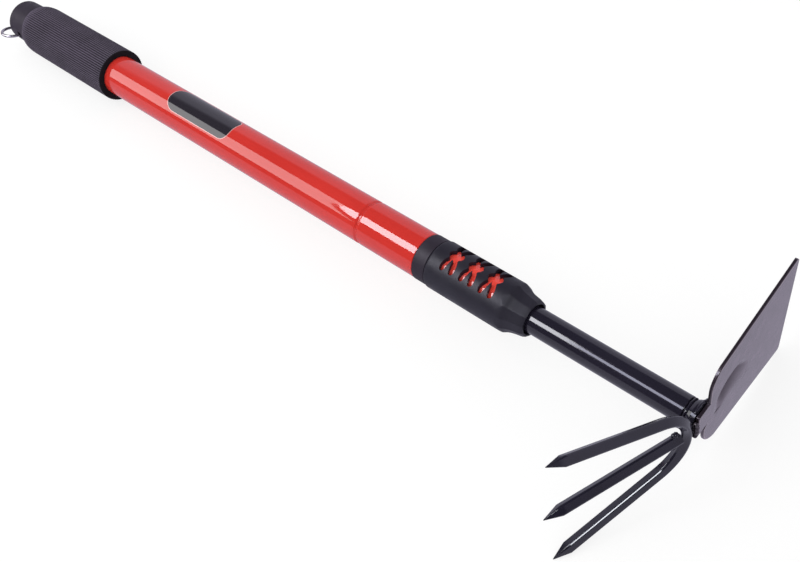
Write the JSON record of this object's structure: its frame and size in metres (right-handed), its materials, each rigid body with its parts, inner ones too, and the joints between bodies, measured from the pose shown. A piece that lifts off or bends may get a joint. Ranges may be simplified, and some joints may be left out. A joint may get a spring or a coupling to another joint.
{
  "type": "telescopic fork hoe",
  "caption": "Telescopic hand hoe: red tube with ribbed foam grip and twist-lock nut, black sliding tube, square-bar fork on one side of its head and a hoe blade on the other.",
  "frame": {"origin": "centre of the end cap's flat end face, on the shaft's axis", "axes": "+X along the shaft from the end cap to the head, +Y towards the hoe blade's cutting edge, +Z across the head; the prongs point to -Y"},
  "size_m": [0.6171, 0.1784, 0.0926],
  "materials": {
    "red_paint": "gloss",
    "red_plastic": "semi-gloss",
    "black_paint": "gloss",
    "black_plastic": "satin",
    "black_foam": "matte",
    "black_rubber": "matte",
    "white_plastic": "satin",
    "bright_steel": "polished"
  },
  "bodies": {
    "handle": {"outer_tube": "red_paint", "foam_grip": "black_foam", "end_cap": "black_plastic", "ferrule_ring": "black_plastic", "collet_body": "red_plastic", "nut_o_ring": "black_rubber"},
    "ring": {"hang_ring": "bright_steel"},
    "collet_fingers": {"collet": "white_plastic"},
    "nut": {"lock_nut": "black_plastic"},
    "guide_bush": {"rear_guide_bush": "black_plastic"},
    "head": {"inner_tube": "black_paint", "inner_end_plug": "black_plastic", "neck_stub": "black_paint", "tube_weld": "black_paint", "hoe_blade": "black_paint", "blade_weld": "black_paint", "outer_prongs": "black_paint", "middle_prong": "black_paint", "fork_weld_upper": "black_paint", "fork_weld_lower": "black_paint", "bow_weld": "black_paint"}
  },
  "joints": [
    {"name": "ring_swing", "type": "hinge", "parent": "handle", "child": "ring", "pos_m": [0.00534, -0.0141, 0], "axis": [1, 0, 0], "range_deg": [-20, 50]},
    {"name": "nut_travel", "type": "slide", "parent": "handle", "child": "collet_fingers", "axis": [1, 0, 0], "range_m": [0, 0.0015]},
    {"name": "nut_turn", "type": "hinge", "parent": "collet_fingers", "child": "nut", "pos_m": [0.47, 0, 0], "axis": [1, 0, 0], "range_deg": [0, 180]},
    {"name": "telescope", "type": "slide", "parent": "handle", "child": "guide_bush", "axis": [1, 0, 0], "range_m": [0, 0.3]},
    {"name": "head_turn", "type": "hinge", "parent": "guide_bush", "child": "head", "pos_m": [0.3, 0, 0], "axis": [1, 0, 0], "continuous": true}
  ],
  "couplings": [
    {"joint": "nut_travel", "follows": "nut_turn", "m_per_rad": 0.000477}
  ]
}
